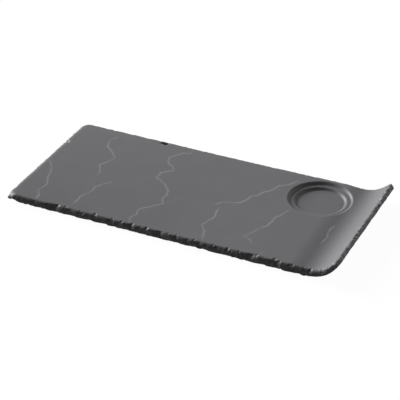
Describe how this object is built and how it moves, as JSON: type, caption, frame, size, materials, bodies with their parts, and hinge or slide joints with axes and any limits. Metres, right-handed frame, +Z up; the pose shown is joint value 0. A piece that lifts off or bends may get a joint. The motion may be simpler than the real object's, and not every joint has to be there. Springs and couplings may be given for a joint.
{
  "type": "rectangular porcelain plate",
  "caption": "Long rectangular slate-look porcelain plate with flaked edges, one short end curled up as a lifting lip, and a stepped round well for a small cup.",
  "frame": {"origin": "on the table, under the middle of the plate's outline", "axes": "+X along the plate to its curled end, +Y to the long edge beside the cup well, +Z up"},
  "size_m": [0.3, 0.137, 0.0178],
  "materials": {
    "slate_glaze": "satin-matt slate-grey glaze over porcelain"
  },
  "bodies": {
    "root": {"plate_body": "slate_glaze"}
  },
  "joints": []
}
